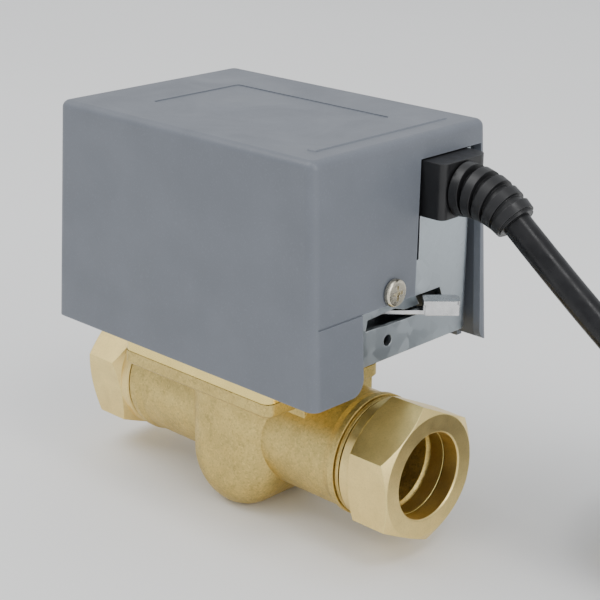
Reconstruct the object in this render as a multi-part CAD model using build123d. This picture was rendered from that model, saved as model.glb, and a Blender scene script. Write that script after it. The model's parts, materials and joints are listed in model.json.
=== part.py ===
"""Motorized zone valve for a 22 mm pipe. Millimetres, +Z up, the pipe lies along X."""
import os
from math import acos, atan2, cos, degrees, hypot, pi, radians, sin, sqrt, tan

from build123d import *

os.makedirs("parts", exist_ok=True)

# Pipe and body
pipe_radius = 11.0
socket_clearance = 0.1
socket_radius = pipe_radius + socket_clearance
socket_stop = 30.0
waterway_radius = pipe_radius - 1.5
tube_radius = 15.3
shoulder_radius = 15.9
shoulder_start = 36.1
shoulder_end = 37.8
neck_ring_start = 38.1
neck_ring_end = 39.1
neck_ring_radius = 15.4
neck_groove_radius = 14.9
thread_radius = 13.2
thread_depth = 0.6
thread_pitch = 1.0
body_mouth = 46.3
mouth_cone_radius = socket_radius + 1.3
chamber_half_width = 14.3
chamber_arc_height = -8.2
chamber_front = -18.7
chamber_back = 13.5
chamber_wall = 2.3
chamber_front_round = 9.0
chamber_back_round = 4.0
foot_height = -22.3
flange_half_length = 27.0
flange_front = -27.2
flange_bottom = 14.2
flange_top = 18.0
flange_corner = 2.5
web_half_length = 24.5
web_front = -12.0
web_back = 13.3

# Seat and ball
seat_x = -10.0
ball_radius = 8.0
seat_bore_radius = 0.75 * ball_radius
seat_ring_radius = ball_radius + 0.5
seat_gap = 0.2585
ball_x = seat_x + sqrt(ball_radius**2 - seat_bore_radius**2) + seat_gap
ball_pin_radius = 1.5

# Nuts and olives
nut_end = 55.3
nut_hex_start = 42.5
nut_collar_start = 39.5
nut_across_flats = 31.8
nut_collar_radius = 15.75
thread_clearance = 0.1
nut_bore_radius = socket_radius + 0.05
nut_bore_start = 50.95
near_nut_turn = 4.5
far_nut_turn = 11.0
olive_start = 46.5
olive_length = 4.1
olive_radius = nut_bore_radius + 1.6
olive_start_radius = nut_bore_radius + 1.05
olive_end_radius = nut_bore_radius + 0.1

# Spindle and bonnet
spindle_y = 5.5
spindle_radius = 3.0
spindle_clearance = 0.1
spindle_top = 37.4
bonnet_top = 21.4
bonnet_half_length = 26.8
bonnet_front = -27.1
bonnet_back = 13.0
bonnet_opening_radius = 11.0
bonnet_opening_y = -2.5
boss_radius = 7.0
boss_top = 28.2
post_radius = 4.5
post_x = 15.5
post_y = -8.0
bonnet_screw_radius = 2.0
bonnet_screw_places = [(-20.0, -21.5), (20.0, -21.5), (-20.0, 8.5), (20.0, 8.5)]

# Chassis sheet
sheet = 1.2
floor_bottom = 28.4
floor_top = floor_bottom + sheet
plate_face = 43.3
floor_front = -24.5
floor_back = 27.9
shelf_top = 51.0
tongue_left = 7.6
tongue_top = 75.6
lip_top = 41.0

# Quadrant gear train
coarse_module = 0.75
fine_module = 0.5
quadrant_teeth = 64
pinion_teeth = 12
wheel_teeth = 48
pressure_angle = 25.0
tooth_thinning = 0.12
spindle_swing = 60.0
output_direction = 205.0
quadrant_bottom = floor_top + 2.8
quadrant_thickness = 2.0
hub_radius = 5.5
cam_radius = 9.5
cam_rise = 1.2
arbor_radius = 1.0
arbor_clearance = 0.06
rotor_x = -11.0

# Manual lever
lever_x = 27.0
lever_y = -10.2
lever_rest_angle = 45.0
lever_swing = 38.0
lever_bottom = 37.9
lever_sheet = 1.0
lever_neck_width = 3.2
lever_pin_radius = 2.0
drive_pin_radius = 1.5
fork_slot_width = 4.4
tab_top = 41.5

# Motor
lower_plate_bottom = 44.9
upper_plate_bottom = 53.4
plate_sheet = 1.2
can_radius = 24.5
can_height = 20.3
can_wall = 0.8
magnet_radius = 9.0
pillar_radius = 2.5
pillar_places = [(-36.0, -20.5), (-36.0, 20.5), (15.0, -22.0), (15.0, 22.0)]

# End switch
switch_half_length = 9.9
switch_front = 17.0
switch_back = 27.2
switch_height = 6.4
switch_screw_x = 5.0
switch_screw_y = 24.0

# Cover
cover_base = 23.75
cover_height = 58.2
cover_middle_y = 0.2
cover_base_length = 94.5
cover_base_width = 64.9
cover_end_slope = 5.5 / 58.2
cover_top_length = cover_base_length - cover_end_slope * cover_height
cover_side_slope = 3.2 / 58.2
cover_top_width = cover_base_width - cover_side_slope * cover_height
cover_middle_x = plate_face + 3.45 - cover_base_length / 2
floor_left = cover_middle_x - cover_base_length / 2 + 5.75
cover_wall = 2.0
cover_corner = 2.5
cover_edge = 2.0
notch_left = -15.1
notch_top = 43.4
notch_right = 3.6
opening_left_top = 6.1
opening_top = 76.2
opening_right = 28.9
cover_screw_y = -4.5
cover_screw_z = 46.3
cover_screw_radius = 1.45
cover_screw_seat = 46.0
cover_screw_head = 1.3

# Cord
cord_radius = 3.5
cord_y = 14.2
cord_entry_x = 36.0
grommet_face = 50.9
grommet_z = 68.9
relief_corner = (60.15, cord_y, grommet_z)
relief_end = (66.65, cord_y, 63.7)
cord_floor = foot_height + cord_radius
cord_route = [
    relief_end,
    (95.0, cord_y, 41.02),
    (120.5, 15.8, 25.7),
]
coil_radius = 35.5
coil_turns = 3.75
coil_layer = 8.0
core_radius = 1.0
core_ring_radius = 1.8
core_length = 30.0
conductor_radius = 0.45
conductor_length = 7.0


def save(name, shape):
    """Write one node and print its volume."""
    export_step(shape, "parts/" + name + ".step")
    print(name, len(shape.solids()), round(shape.volume, 2))


def block(x0, x1, y0, y1, z0, z1):
    centre = Pos((x0 + x1) / 2, (y0 + y1) / 2, (z0 + z1) / 2)
    return centre * Box(x1 - x0, y1 - y0, z1 - z0)


def rod_z(x, y, z0, z1, radius):
    return Pos(x, y, (z0 + z1) / 2) * Cylinder(radius, z1 - z0)


def rod_x(x0, x1, y, z, radius):
    return Pos((x0 + x1) / 2, y, z) * Rot(0, 90, 0) * Cylinder(radius, x1 - x0)


def prism_z(points, z0, z1):
    face = make_face(Polyline(*[(x, y, z0) for x, y in points], close=True))
    return extrude(face, amount=z1 - z0, dir=(0, 0, 1))


def prism_x(points, x0, x1):
    face = make_face(Polyline(*[(x0, y, z) for y, z in points], close=True))
    return extrude(face, amount=x1 - x0, dir=(1, 0, 0))


def turned_x(points):
    """Solid of revolution about X from (x, radius) points."""
    face = make_face(Polyline(*[(x, r, 0) for x, r in points], close=True))
    return revolve(face, Axis.X, 360)


def around(x, y, radius, angle):
    return (x + radius * cos(radians(angle)), y + radius * sin(radians(angle)))


def screw_z(x, y, shank_bottom, seat, shank_radius, head_radius, head_height):
    """Pan-head screw with a cross recess, head up."""
    head = rod_z(x, y, seat, seat + head_height, head_radius)
    top_edge = head.edges().filter_by(GeomType.CIRCLE).sort_by(Axis.Z)[-1]
    head = fillet(top_edge, head_height * 0.45)
    top = seat + head_height
    arm = head_radius * 0.55
    width = head_radius * 0.16
    head -= block(x - arm, x + arm, y - width, y + width, top - 0.5 * head_height, top + 1)
    head -= block(x - width, x + width, y - arm, y + arm, top - 0.5 * head_height, top + 1)
    return head + rod_z(x, y, shank_bottom, seat, shank_radius)


# Gear teeth


def flank_half_angle(radius, pitch_radius, teeth):
    """Half of the tooth's angle at a radius, in radians, for an involute flank."""
    pressure = radians(pressure_angle)
    base = pitch_radius * cos(pressure)
    here = acos(min(1.0, base / radius))
    at_pitch = pi / (2 * teeth) - tooth_thinning / (2 * pitch_radius)
    return at_pitch + (tan(pressure) - pressure) - (tan(here) - here)


def tooth_points(module, teeth, centre_angle):
    """One tooth's outline from root to root, angles in degrees about the origin."""
    pitch_radius = module * teeth / 2
    tip = pitch_radius + 0.95 * module
    root = pitch_radius - 1.3 * module
    base = pitch_radius * cos(radians(pressure_angle))
    start = max(base, root)
    radii = [start + (tip - start) * step / 3 for step in range(4)]
    rising = [(r, -flank_half_angle(r, pitch_radius, teeth)) for r in radii]
    falling = [(r, -angle) for r, angle in reversed(rising)]
    foot_angle = flank_half_angle(start, pitch_radius, teeth)
    outline = rising + falling
    if start > root + 0.01:
        outline = [(root, -foot_angle)] + outline + [(root, foot_angle)]
    return [around(0, 0, r, centre_angle + degrees(angle)) for r, angle in outline]


def spur_gear(module, teeth, phase, x, y, z0, z1):
    points = []
    for number in range(teeth):
        points += tooth_points(module, teeth, phase + number * 360 / teeth)
    return Pos(x, y, 0) * prism_z(points, z0, z1)


coarse_distance = coarse_module * (quadrant_teeth + pinion_teeth) / 2
fine_distance = fine_module * (wheel_teeth + pinion_teeth) / 2
output_x, output_y = around(0, spindle_y, coarse_distance, output_direction)
train_gap = hypot(output_x - rotor_x, output_y)
train_rise = sqrt(fine_distance**2 - (train_gap / 2) ** 2)
middle_x = (output_x + rotor_x) / 2 + output_y / train_gap * train_rise
middle_y = output_y / 2 - (output_x - rotor_x) / train_gap * train_rise

wheel_bottom = lower_plate_bottom + plate_sheet + 1.2
wheel_thickness = 1.6
second_wheel_bottom = wheel_bottom + 3.4

lever_distance = hypot(lever_x, lever_y - spindle_y)
lever_line = degrees(atan2(lever_y - spindle_y, lever_x))
half_swing = tan(radians(lever_swing / 2))
drive_radius = lever_distance * half_swing / (
    sin(radians(spindle_swing / 2)) + half_swing * cos(radians(spindle_swing / 2))
)
drive_angle = lever_line - spindle_swing / 2
inner_arm_angle = 180 + lever_line + lever_swing / 2


# Valve body, nuts and olives


def chamber_section(half_width, y0, y1, top, front_round, back_round):
    """U-shaped prism along Y with its front and back edges rounded."""
    bottom = chamber_arc_height
    drum = Pos(0, (y0 + y1) / 2, bottom) * Rot(90, 0, 0) * Cylinder(half_width, y1 - y0)
    section = drum + block(-half_width, half_width, y0, y1, bottom, top)
    for last, radius in ((0, front_round), (-1, back_round)):
        face = section.faces().sort_by(Axis.Y)[last]
        edges = face.edges().filter_by(lambda edge: edge.center().Z < top - 1)
        section = fillet(edges, radius)
    return section


def valve_body():
    chamber = chamber_section(
        chamber_half_width,
        chamber_front,
        chamber_back,
        flange_bottom,
        chamber_front_round,
        chamber_back_round,
    )
    flange = block(
        -flange_half_length, flange_half_length, flange_front, chamber_back, flange_bottom, flange_top
    )
    flange = fillet(flange.edges().filter_by(Axis.Z), flange_corner)
    flange = chamfer(flange.faces().sort_by(Axis.Z)[0].edges(), 0.8)
    web = block(-web_half_length, web_half_length, web_front, web_back, 0, flange_bottom)
    body = chamber + flange + web + rod_x(-shoulder_start, shoulder_start, 0, 0, tube_radius)
    for side in (-1, 1):
        profile = [(side * (shoulder_start - 2), 0), (side * (shoulder_start - 2), tube_radius)]
        profile += [(side * shoulder_start, shoulder_radius), (side * shoulder_end, shoulder_radius)]
        profile += [(side * shoulder_end, neck_groove_radius)]
        profile += [(side * neck_ring_start, neck_groove_radius)]
        profile += [(side * neck_ring_start, neck_ring_radius), (side * neck_ring_end, neck_ring_radius)]
        profile += [(side * neck_ring_end, thread_radius)]
        place = neck_ring_end + 0.4
        while place + thread_pitch < body_mouth:
            profile += [(side * place, thread_radius)]
            profile += [(side * (place + thread_pitch / 2), thread_radius - thread_depth)]
            place += thread_pitch
        profile += [(side * (body_mouth - 0.3), thread_radius), (side * body_mouth, thread_radius - 0.3)]
        profile += [(side * body_mouth, 0)]
        body += turned_x(profile)
    body -= block(-40, 40, -40, 40, foot_height - 10, foot_height)
    body -= chamber_section(
        chamber_half_width - chamber_wall,
        chamber_front + chamber_wall,
        chamber_back - chamber_wall,
        flange_bottom - 1.2,
        chamber_front_round - chamber_wall,
        chamber_back_round - chamber_wall,
    )
    body -= rod_z(0, bonnet_opening_y, 5, flange_top + 1, bonnet_opening_radius)
    inner_wall = chamber_half_width - chamber_wall
    seat_ring = rod_x(-inner_wall - 0.6, seat_x, 0, 0, seat_ring_radius)
    body += seat_ring
    body -= rod_x(-body_mouth - 1, -inner_wall - 2, 0, 0, waterway_radius)
    body -= rod_x(-inner_wall - 2.5, seat_x + 1, 0, 0, seat_bore_radius)
    body -= rod_x(inner_wall - 1, body_mouth + 1, 0, 0, waterway_radius)
    cone_depth = mouth_cone_radius - socket_radius
    for side in (-1, 1):
        socket = [(side * socket_stop, 0), (side * socket_stop, socket_radius)]
        socket += [(side * (body_mouth - cone_depth), socket_radius)]
        socket += [(side * (body_mouth + 1), mouth_cone_radius + 1), (side * (body_mouth + 1), 0)]
        body -= turned_x(socket)
    groove = rod_z(0, bonnet_opening_y, seal_bottom, flange_top + 1, seal_outer)
    groove -= rod_z(0, bonnet_opening_y, seal_bottom - 1, flange_top + 2, seal_inner)
    body -= groove
    for x, y in bonnet_screw_places:
        body -= rod_z(x, y, flange_bottom - 1, flange_top + 1, bonnet_screw_radius)
    return body


seal_inner = bonnet_opening_radius + 0.6
seal_outer = bonnet_opening_radius + 1.9
seal_bottom = flange_top - 1.1


def compression_nut(side, turn):
    """Nut on one side, its hexagon turned by an angle about the pipe."""
    inner_thread = thread_radius + thread_clearance
    profile = [(nut_collar_start, inner_thread), (nut_collar_start, nut_collar_radius - 0.4)]
    profile += [(nut_collar_start + 0.4, nut_collar_radius), (nut_hex_start, nut_collar_radius)]
    corner_radius = nut_across_flats / sqrt(3)
    bevel = (corner_radius - nut_collar_radius) * tan(radians(30))
    profile += [(nut_hex_start + bevel, corner_radius), (nut_end - bevel, corner_radius)]
    profile += [(nut_end, nut_collar_radius), (nut_end, nut_bore_radius + 0.35)]
    profile += [(nut_end - 0.35, nut_bore_radius), (nut_bore_start, nut_bore_radius)]
    profile += [(nut_bore_start - 2.2, inner_thread)]
    nut = turned_x([(side * x, r) for x, r in profile])
    hexagon = [around(0, 0, corner_radius, 90 + turn + 60 * number) for number in range(6)]
    return nut & prism_x(hexagon, min(side * 30, side * 60), max(side * 30, side * 60))


def olive(side):
    end = olive_start + olive_length
    profile = [(olive_start, nut_bore_radius), (olive_start, olive_start_radius)]
    profile += [(olive_start + 0.9, olive_radius), (olive_start + 2.4, olive_radius)]
    profile += [(end, olive_end_radius), (end, nut_bore_radius)]
    return turned_x([(side * x, r) for x, r in profile])


# Bonnet, spindle and ball


def bonnet_plate():
    plate = block(
        -bonnet_half_length, bonnet_half_length, bonnet_front, bonnet_back, flange_top, bonnet_top
    )
    plate = fillet(plate.edges().filter_by(Axis.Z), 2.5)
    plate += rod_z(0, spindle_y, bonnet_top, boss_top, boss_radius)
    for side in (-1, 1):
        plate += rod_z(side * post_x, post_y, bonnet_top, floor_bottom, post_radius)
        plate -= rod_z(side * post_x, post_y, chassis_screw_bottom, floor_bottom + 1, chassis_screw_radius)
    plate -= rod_z(0, spindle_y, flange_top - 1, boss_top + 1, spindle_radius + spindle_clearance)
    for x, y in bonnet_screw_places:
        plate -= rod_z(x, y, flange_top - 1, bonnet_top + 1, bonnet_screw_radius)
    return plate


chassis_screw_bottom = 22.6
chassis_screw_radius = 1.9
o_ring_heights = (20.4, 25.6)
o_ring_half = 0.8
o_ring_floor = 2.1
spindle_tenon_radius = 2.0
arm_bottom = 9.0
arm_top = 11.5
flat_half_width = 2.3


def spindle():
    stem = rod_z(0, spindle_y, arm_top, spindle_top, spindle_radius)
    stem += rod_z(0, spindle_y, arm_bottom - 0.5, arm_top, spindle_tenon_radius)
    for height in o_ring_heights:
        groove = rod_z(0, spindle_y, height - o_ring_half, height + o_ring_half, spindle_radius + 1)
        groove -= rod_z(0, spindle_y, height - 2, height + 2, o_ring_floor)
        stem -= groove
    for side in (-1, 1):
        near = spindle_y + side * flat_half_width
        far = spindle_y + side * (spindle_radius + 1)
        stem -= block(-5, 5, min(near, far), max(near, far), floor_top, spindle_top + 1)
    return stem


def spindle_o_rings():
    rings = []
    outer = spindle_radius + spindle_clearance - 0.03
    for height in o_ring_heights:
        ring = rod_z(0, spindle_y, height - o_ring_half, height + o_ring_half, outer)
        ring -= rod_z(0, spindle_y, height - 2, height + 2, o_ring_floor)
        rims = ring.edges().filter_by(GeomType.CIRCLE)
        rims = rims.filter_by(lambda edge: edge.radius > o_ring_floor + 0.1)
        ring = fillet(rims, 0.35)
        rings.append(ring)
    return Compound(children=rings)


def ball_arm():
    angle = degrees(atan2(-spindle_y, ball_x))
    reach = hypot(spindle_y, ball_x)
    arm = Pos(0, spindle_y, 0) * Rot(0, 0, angle) * block(0, reach, -3.2, 3.2, arm_bottom, arm_top)
    arm += rod_z(0, spindle_y, arm_bottom, arm_top, 3.2)
    arm += rod_z(ball_x, 0, arm_bottom, arm_top, 3.2)
    arm += rod_z(ball_x, 0, -5.0, arm_bottom, ball_pin_radius)
    return arm - rod_z(0, spindle_y, arm_bottom - 1, arm_top + 1, spindle_tenon_radius)


def rubber_ball():
    ball = Pos(ball_x, 0, 0) * Sphere(ball_radius)
    return ball - rod_z(ball_x, 0, -5.0, ball_radius + 2, ball_pin_radius)


# Chassis


def lever_slot():
    """Slot that the lever moves in, as (y, z) points on the end plate."""
    bottom = [(17.0, 36.9), (-3.9, 36.9), (-7.5, 37.3), (-11.2, 37.4)]
    top = [(-10.5, 40.1), (-0.7, 40.6), (2.7, 39.4), (8.3, 39.4), (6.9, 41.9), (16.1, 41.9), (17.0, 39.8)]
    return bottom + top


def chassis():
    inner_face = plate_face - sheet
    fold_end = plate_face - 10
    fold_face = floor_back - sheet
    plan = [(inner_face, -20.0), (plate_face, -20.0), (plate_face, floor_back)]
    plan += [(fold_end, floor_back), (fold_end, fold_face), (inner_face, fold_face)]
    bends = [0, 0, 2.6, 0, 0, 2.6 - sheet]
    outline = FilletPolyline(*[(x, y, floor_bottom) for x, y in plan], radius=bends, close=True)
    upright = extrude(make_face(outline), amount=tongue_top - floor_bottom, dir=(0, 0, 1))
    floor = block(floor_left, plate_face - 4, floor_front, floor_back, floor_bottom, floor_top)
    floor += block(plate_face - 5, inner_face + 0.5, floor_front, 20, floor_bottom, floor_top)
    lip = block(floor_left, floor_left + sheet, floor_front + 2, floor_back - 2, floor_bottom, lip_top)
    body = upright + floor + lip
    body -= block(plate_face - 3, plate_face + 1, -30, tongue_left, shelf_top, tongue_top + 1)
    body -= prism_x(lever_slot(), plate_face - 3, plate_face + 1)
    body -= rod_x(plate_face - 3, plate_face + 1, -3.1, 33.1, 1.45)
    body -= rod_x(plate_face - 3, plate_face + 1, cover_screw_y, cover_screw_z, cover_screw_radius)
    body -= block(plate_face - 3, plate_face + 1, neck_left, neck_right, neck_bottom, neck_top)
    body -= rod_z(0, spindle_y, floor_bottom - 1, floor_top + 1, 4.0)
    body -= rod_z(output_x, output_y, floor_bottom - 1, floor_top + 1, arbor_radius + arbor_clearance)
    for side in (-1, 1):
        body -= rod_z(side * post_x, post_y, floor_bottom - 1, floor_top + 1, chassis_screw_radius)
        body -= rod_z(
            side * switch_screw_x, switch_screw_y, floor_bottom - 1, floor_top + 1, switch_screw_radius
        )
    for x, y in pillar_places:
        body -= rod_z(x, y, floor_bottom - 1, floor_top + 1, pillar_spigot_radius)
    body -= rod_z(lever_x, lever_y, floor_bottom - 1, floor_top + 1, pillar_spigot_radius)
    body -= rod_z(earth_x, earth_y, floor_bottom - 1, floor_top + 1, earth_radius)
    return body


pillar_spigot_radius = 1.5
switch_screw_radius = 1.0
earth_x = 35.0
earth_y = 19.0
earth_radius = 1.6
neck_left = 9.4
neck_right = 20.0
neck_bottom = 64.0
neck_top = 73.8


def cover_screw():
    seat = cover_screw_seat
    top = seat + cover_screw_head
    head = rod_x(seat, top, cover_screw_y, cover_screw_z, 3.4)
    rim = head.edges().filter_by(GeomType.CIRCLE).sort_by(Axis.X)[-1]
    head = fillet(rim, 0.7)
    for tall, wide in ((1.9, 0.5), (0.5, 1.9)):
        head -= block(
            top - 0.8,
            top + 1,
            cover_screw_y - wide,
            cover_screw_y + wide,
            cover_screw_z - tall,
            cover_screw_z + tall,
        )
    return head + rod_x(38.5, seat, cover_screw_y, cover_screw_z, cover_screw_radius)


# Quadrant, return spring and lever


def quadrant_gear():
    bottom = quadrant_bottom
    top = bottom + quadrant_thickness
    step = 360 / quadrant_teeth
    root = coarse_module * quadrant_teeth / 2 - 1.3 * coarse_module
    points = []
    for number in range(-12, 3):
        points += tooth_points(coarse_module, quadrant_teeth, output_direction + number * step)
    sector = prism_z([(0, 0)] + points, bottom, top)
    window = rod_z(0, 0, bottom - 1, top + 1, root - 3.5) - rod_z(0, 0, bottom - 2, top + 2, 11.5)
    first = output_direction - 12 * step + 9
    last = output_direction + 2 * step - 9
    wedge = [(0, 0)] + [around(0, 0, 30, first + (last - first) * k / 3) for k in range(4)]
    window &= prism_z(wedge, bottom - 1, top + 1)
    cam = [around(0, 0, cam_radius, 97)]
    cam += [around(0, 0, cam_radius + cam_rise * k / 10, 90 - 6 * k) for k in range(11)]
    cam += [around(0, 0, cam_radius + cam_rise, 22), (0, 0)]
    pin_x, pin_y = around(0, 0, drive_radius, drive_angle)
    ear = Rot(0, 0, drive_angle) * block(0, drive_radius, -3.2, 3.2, bottom, top)
    gear = sector - window + prism_z(cam, bottom, top) + ear
    gear += rod_z(pin_x, pin_y, bottom, top, 3.2)
    gear += rod_z(pin_x, pin_y, top, lever_bottom + lever_sheet + 0.6, drive_pin_radius)
    gear += rod_z(0, 0, floor_top + 0.5, spindle_top - 0.5, hub_radius)
    key = rod_z(0, 0, floor_top, spindle_top + 1, spindle_radius)
    half = flat_half_width
    gear -= key & block(-5, 5, -half, half, floor_top - 1, spindle_top + 2)
    return Pos(0, spindle_y, 0) * gear


spring_wire_radius = 0.4
spring_radius = 8.0
spring_turns = 2
spring_turn_rise = 0.95
spring_bottom = 35.2
spring_leg = 15.5
spring_foot_x = 12.6


def return_spring():
    """Round coil about the hub, with one leg in to the hub and one out to a pillar."""
    slope = Vector(0, 2 * pi * spring_radius, spring_turn_rise).normalized()
    top = spring_bottom + spring_turns * spring_turn_rise

    def on_coil(angle):
        x, y = around(0, spindle_y, spring_radius, angle)
        place = Vector(x, y, spring_bottom + spring_turn_rise * angle / 360)
        return place, slope.rotate(Axis.Z, angle)

    inner_end = Vector(hub_radius + 0.25, spindle_y, spring_bottom)
    inner_bend = Vector(hub_radius + 0.85, spindle_y, spring_bottom)
    edges = [Edge.make_line(inner_end, inner_bend)]
    angles = [30] + [90 * quarter for quarter in range(1, 4 * spring_turns + 1)]
    edges += biarc(inner_bend, Vector(1, 0, 0), *on_coil(angles[0]))
    for first, last in zip(angles, angles[1:]):
        edges += biarc(*on_coil(first), *on_coil(last))
    bend = 1.5
    coil_end, coil_end_slope = on_coil(angles[-1])
    leg_start = Vector(spring_radius, spindle_y + 2.0, top + 0.02)
    leg_end = Vector(spring_radius, spindle_y + spring_leg - bend, top + 0.02)
    foot_start = Vector(spring_radius + bend, spindle_y + spring_leg, top + 0.02)
    foot_end = Vector(spring_foot_x, spindle_y + spring_leg, top + 0.02)
    edges += biarc(coil_end, coil_end_slope, leg_start, Vector(0, 1, 0))
    edges.append(Edge.make_line(leg_start, leg_end))
    edges.append(Edge.make_tangent_arc(leg_end, Vector(0, 1, 0), foot_start))
    edges.append(Edge.make_line(foot_start, foot_end))
    return cord_tube(Wire(edges), spring_wire_radius)


def lever_pivot():
    shoulder = lever_bottom - 0.06
    head = lever_bottom + lever_sheet + 0.06
    post = rod_z(lever_x, lever_y, floor_top, shoulder, 4.0)
    post += rod_z(lever_x, lever_y, floor_bottom, floor_top, pillar_spigot_radius)
    post += rod_z(lever_x, lever_y, shoulder, head, lever_pin_radius)
    return post + rod_z(lever_x, lever_y, head, head + 1.1, 3.3)


def manual_lever():
    """Forked lever: the fork rides on the drive pin and the tab comes out of the slot."""
    bottom = lever_bottom
    top = bottom + lever_sheet
    half_neck = lever_neck_width / 2
    body = rod_z(0, 0, bottom, top, 5.0)
    body += block(0, 26.4, -half_neck, half_neck, bottom, top)
    body += block(25.4, 26.4, -half_neck, half_neck, bottom, tab_top)
    tab = block(25.4, 34.2, -2.5, 2.5, tab_top - lever_sheet, tab_top)
    tab = fillet(tab.edges().filter_by(Axis.Z).group_by(Axis.X)[-1], 1.0)
    body += tab
    lip = block(25.8, 34.0, -2.5, -1.5, lever_bottom, tab_top - lever_sheet)
    body += lip
    inner = block(0, 15.0, -2.6, 2.6, bottom, top)
    inner += block(13.0, 23.5, -4.3, 4.3, bottom, top)
    slot_half = fork_slot_width / 2
    inner -= block(15.6, 24.0, -slot_half, slot_half, bottom - 1, top + 1)
    body += Rot(0, 0, inner_arm_angle - lever_rest_angle) * inner
    body -= rod_z(0, 0, bottom - 1, top + 1, lever_pin_radius + 0.08)
    return Pos(lever_x, lever_y, 0) * Rot(0, 0, lever_rest_angle) * body


# Gear train


def output_gear():
    pinion_phase = output_direction - 180 + 180 / pinion_teeth
    gear = spur_gear(
        coarse_module,
        pinion_teeth,
        pinion_phase,
        output_x,
        output_y,
        quadrant_bottom - 0.6,
        quadrant_bottom + quadrant_thickness + 0.6,
    )
    to_middle = degrees(atan2(middle_y - output_y, middle_x - output_x))
    gear += spur_gear(
        fine_module,
        wheel_teeth,
        to_middle,
        output_x,
        output_y,
        wheel_bottom,
        wheel_bottom + wheel_thickness,
    )
    gear += rod_z(output_x, output_y, floor_bottom + 0.2, upper_plate_bottom + 0.9, arbor_radius)
    return gear + rod_z(output_x, output_y, wheel_bottom - 0.9, wheel_bottom + 2.4, 2.4)


def intermediate_gear():
    from_output = degrees(atan2(middle_y - output_y, middle_x - output_x))
    to_rotor = degrees(atan2(-middle_y, rotor_x - middle_x))
    gear = spur_gear(
        fine_module,
        pinion_teeth,
        from_output + 180 + 180 / pinion_teeth,
        middle_x,
        middle_y,
        wheel_bottom - 0.3,
        wheel_bottom + wheel_thickness + 0.3,
    )
    gear += spur_gear(
        fine_module,
        wheel_teeth,
        to_rotor,
        middle_x,
        middle_y,
        second_wheel_bottom,
        second_wheel_bottom + wheel_thickness,
    )
    gear += rod_z(middle_x, middle_y, wheel_bottom + 1.8, second_wheel_bottom, 2.0)
    arbor_bottom = lower_plate_bottom + 0.2
    return gear + rod_z(middle_x, middle_y, arbor_bottom, upper_plate_bottom + 0.9, arbor_radius)


magnet_bottom = upper_plate_bottom + 3.6
magnet_top = magnet_bottom + 14.0


def rotor_shaft():
    to_rotor = degrees(atan2(-middle_y, rotor_x - middle_x))
    shaft = spur_gear(
        fine_module,
        pinion_teeth,
        to_rotor + 180 + 180 / pinion_teeth,
        rotor_x,
        0,
        second_wheel_bottom - 0.3,
        second_wheel_bottom + wheel_thickness + 0.3,
    )
    return shaft + rod_z(rotor_x, 0, second_wheel_bottom - 0.6, magnet_top + 1.5, arbor_radius)


def rotor_magnet():
    magnet = rod_z(rotor_x, 0, magnet_bottom, magnet_top, magnet_radius)
    magnet = chamfer(magnet.edges().filter_by(GeomType.CIRCLE), 0.5)
    return magnet - rod_z(rotor_x, 0, magnet_bottom - 1, magnet_top + 1, arbor_radius)


# Motor


def motor_plate(left, bottom, with_arbors):
    plate = block(left, 20.5, -25.0, 25.0, bottom, bottom + plate_sheet)
    plate = fillet(plate.edges().filter_by(Axis.Z), 3.0)
    for x, y in pillar_places:
        plate -= rod_z(x, y, bottom - 1, bottom + 3, pillar_spigot_radius)
    for x, y in with_arbors:
        plate -= rod_z(x, y, bottom - 1, bottom + 3, arbor_radius + arbor_clearance)
    return plate


ear_places = [(rotor_x - 28.0, 0.0), (rotor_x + 28.0, 0.0)]
ear_radius = 3.0
ear_screw_radius = 1.3


def motor_upper_plate():
    arbors = [(output_x, output_y), (middle_x, middle_y), (rotor_x, 0)]
    plate = motor_plate(-42.5, upper_plate_bottom, arbors)
    for x, y in ear_places:
        plate -= rod_z(x, y, upper_plate_bottom - 1, upper_plate_bottom + 3, ear_screw_radius)
    return plate


def motor_pillars():
    pillars = []
    for x, y in pillar_places:
        pillar = rod_z(x, y, floor_top, lower_plate_bottom, pillar_radius)
        pillar += rod_z(x, y, floor_bottom, lower_plate_bottom + plate_sheet, pillar_spigot_radius)
        pillars.append(pillar)
    return Compound(children=pillars)


def gear_standoffs():
    standoffs = []
    for x, y in pillar_places:
        bottom = lower_plate_bottom + plate_sheet
        top = upper_plate_bottom + plate_sheet
        standoff = rod_z(x, y, bottom, upper_plate_bottom, pillar_radius)
        standoff += rod_z(x, y, upper_plate_bottom, top, pillar_spigot_radius)
        standoff += rod_z(x, y, top, top + 0.7, pillar_spigot_radius + 0.5)
        standoffs.append(standoff)
    return Compound(children=standoffs)


can_bottom = upper_plate_bottom + plate_sheet
can_top = can_bottom + can_height


def motor_can():
    can = rod_z(rotor_x, 0, can_bottom, can_top, can_radius)
    rim = can.edges().filter_by(GeomType.CIRCLE).sort_by(Axis.Z)[-1]
    can = fillet(rim, 1.5)
    ear_top = can_bottom + 1.0
    for x, y in ear_places:
        can += rod_z(x, y, can_bottom, ear_top, ear_radius)
        can += block(min(x, rotor_x), max(x, rotor_x), -ear_radius, ear_radius, can_bottom, ear_top)
    can -= rod_z(rotor_x, 0, can_bottom - 1, can_top - can_wall, can_radius - can_wall)
    can -= rod_z(rotor_x, 0, can_top - 2, can_top + 1, 2.0)
    for x, y in ear_places:
        can -= rod_z(x, y, can_bottom - 1, ear_top + 1, ear_screw_radius)
    return can


def stator_coil():
    """Bobbin with a wound body between two flanges."""
    bottom = can_bottom + 0.2
    top = can_top - can_wall - 0.4
    coil = rod_z(rotor_x, 0, bottom + 2.2, top - 2.2, 21.0)
    for flange in (bottom, top - 1.4):
        coil += rod_z(rotor_x, 0, flange, flange + 1.4, can_radius - can_wall - 0.3)
    coil += rod_z(rotor_x, 0, bottom, top, 13.0)
    return coil - rod_z(rotor_x, 0, bottom - 1, top + 1, pole_outer)


pole_inner = 9.9
pole_outer = 10.9


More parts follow.
